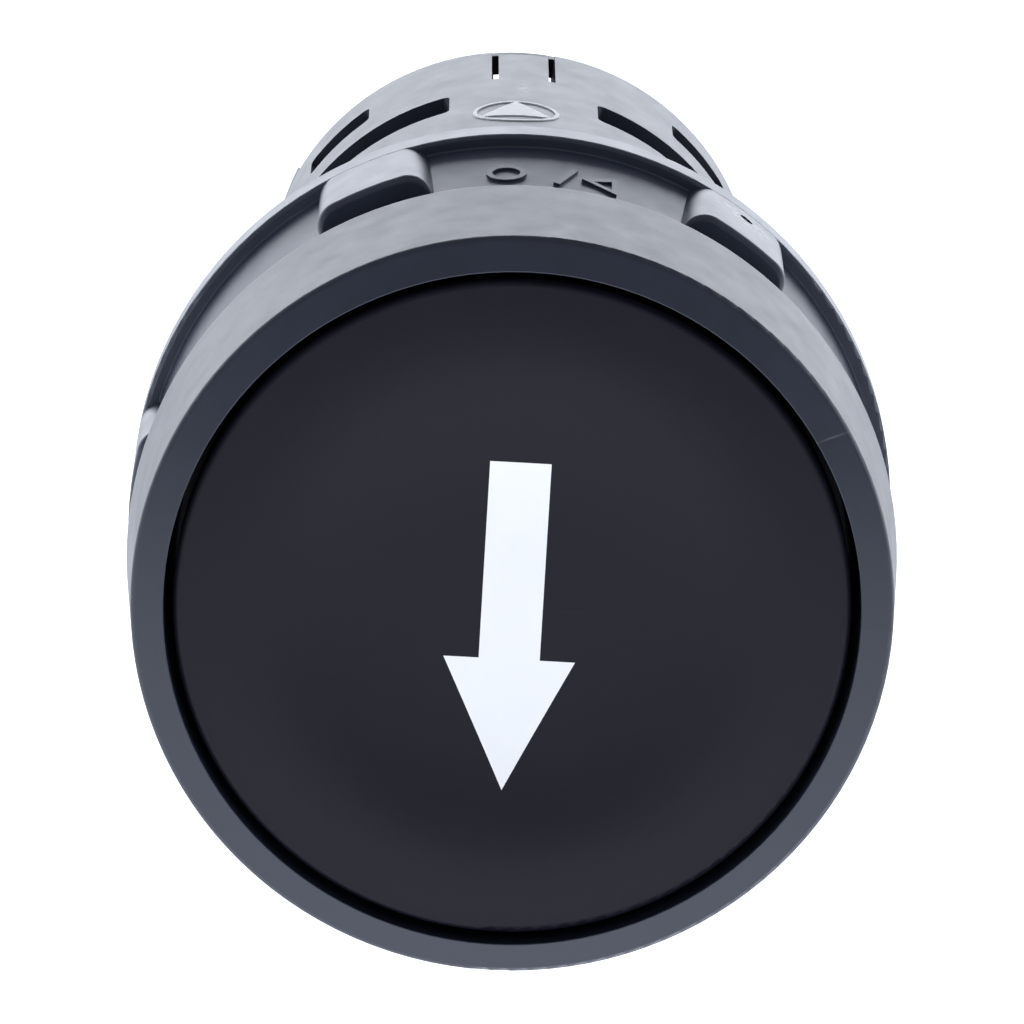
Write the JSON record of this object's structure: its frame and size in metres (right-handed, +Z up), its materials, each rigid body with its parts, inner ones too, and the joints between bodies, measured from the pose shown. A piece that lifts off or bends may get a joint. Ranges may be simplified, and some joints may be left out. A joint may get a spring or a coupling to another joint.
{
  "type": "panel mount push button",
  "caption": "Flush spring-return push button: dished black cap with a down arrow, round grey bezel, threaded neck, lugged fixing nut, slotted body and rear screw terminals.",
  "frame": {"origin": "on the button's axis, in the plane of the bezel's rear seating face, where the front of the panel comes", "axes": "+Y along the axis from the user into the panel, so the cap faces -Y; +Z up, as the arrow on the cap points down; +X to the right as seen by the user"},
  "size_m": [0.0298, 0.054, 0.0298],
  "materials": {
    "housing_plastic": "dark grey moulded plastic, fine satin texture",
    "nut_plastic": "dark grey moulded plastic, fine satin texture",
    "cap_plastic": "black moulded plastic, very fine texture",
    "white_plastic": "white second-shot plastic, flush with the cap",
    "white_ink": "white printed mark",
    "seal_rubber": "black nitrile rubber",
    "plunger_plastic": "natural acetal",
    "base_plastic": "black thermoset moulding",
    "spring_steel": "bright drawn wire",
    "contact_copper": "copper alloy strip",
    "contact_silver": "silver alloy",
    "terminal_brass": "stamped brass",
    "plated_steel": "zinc-plated steel"
  },
  "bodies": {
    "housing": {"bezel": "housing_plastic", "threaded_barrel": "housing_plastic", "panel_gasket": "seal_rubber", "lip_seal": "seal_rubber", "body_shell": "housing_plastic", "orientation_mark": "white_ink", "contact_base": "base_plastic", "return_spring": "spring_steel", "nc_terminal_right": "terminal_brass", "nc_terminal_left": "terminal_brass", "no_terminal_right": "terminal_brass", "no_terminal_left": "terminal_brass", "nc_fixed_tips": "contact_silver", "no_fixed_tips": "contact_silver", "terminal_screws": "plated_steel", "clamp_washers": "plated_steel"},
    "button": {"button_cap": "cap_plastic", "arrow_inlay": "white_plastic", "plunger": "plunger_plastic", "nc_contact_spring": "spring_steel", "no_contact_spring": "spring_steel"},
    "nc_contact": {"nc_bridge": "contact_copper", "nc_bridge_tips": "contact_silver"},
    "no_contact": {"no_bridge": "contact_copper", "no_bridge_tips": "contact_silver"},
    "nut": {"fixing_nut": "nut_plastic"}
  },
  "joints": [
    {"name": "press", "type": "slide", "parent": "housing", "child": "button", "axis": [0, 1, 0], "range_m": [0, 0.004], "stiffness_N_per_m": 600, "springref_m": -0.004, "deforming": ["return_spring"]},
    {"name": "nc_bridge_lag", "type": "slide", "parent": "button", "child": "nc_contact", "axis": [0, 1, 0], "range_m": [-0.00148, 0], "deforming": ["nc_contact_spring"]},
    {"name": "no_bridge_lag", "type": "slide", "parent": "button", "child": "no_contact", "axis": [0, 1, 0], "range_m": [-0.00144, 0], "deforming": ["no_contact_spring"]},
    {"name": "nut_travel", "type": "slide", "parent": "housing", "child": "nut", "axis": [0, 1, 0], "range_m": [0, 0.055]}
  ],
  "couplings": [
    {"joint": "nc_bridge_lag", "follows": "press", "ratio": -0.37},
    {"joint": "no_bridge_lag", "follows": "press", "ratio": -0.36}
  ]
}
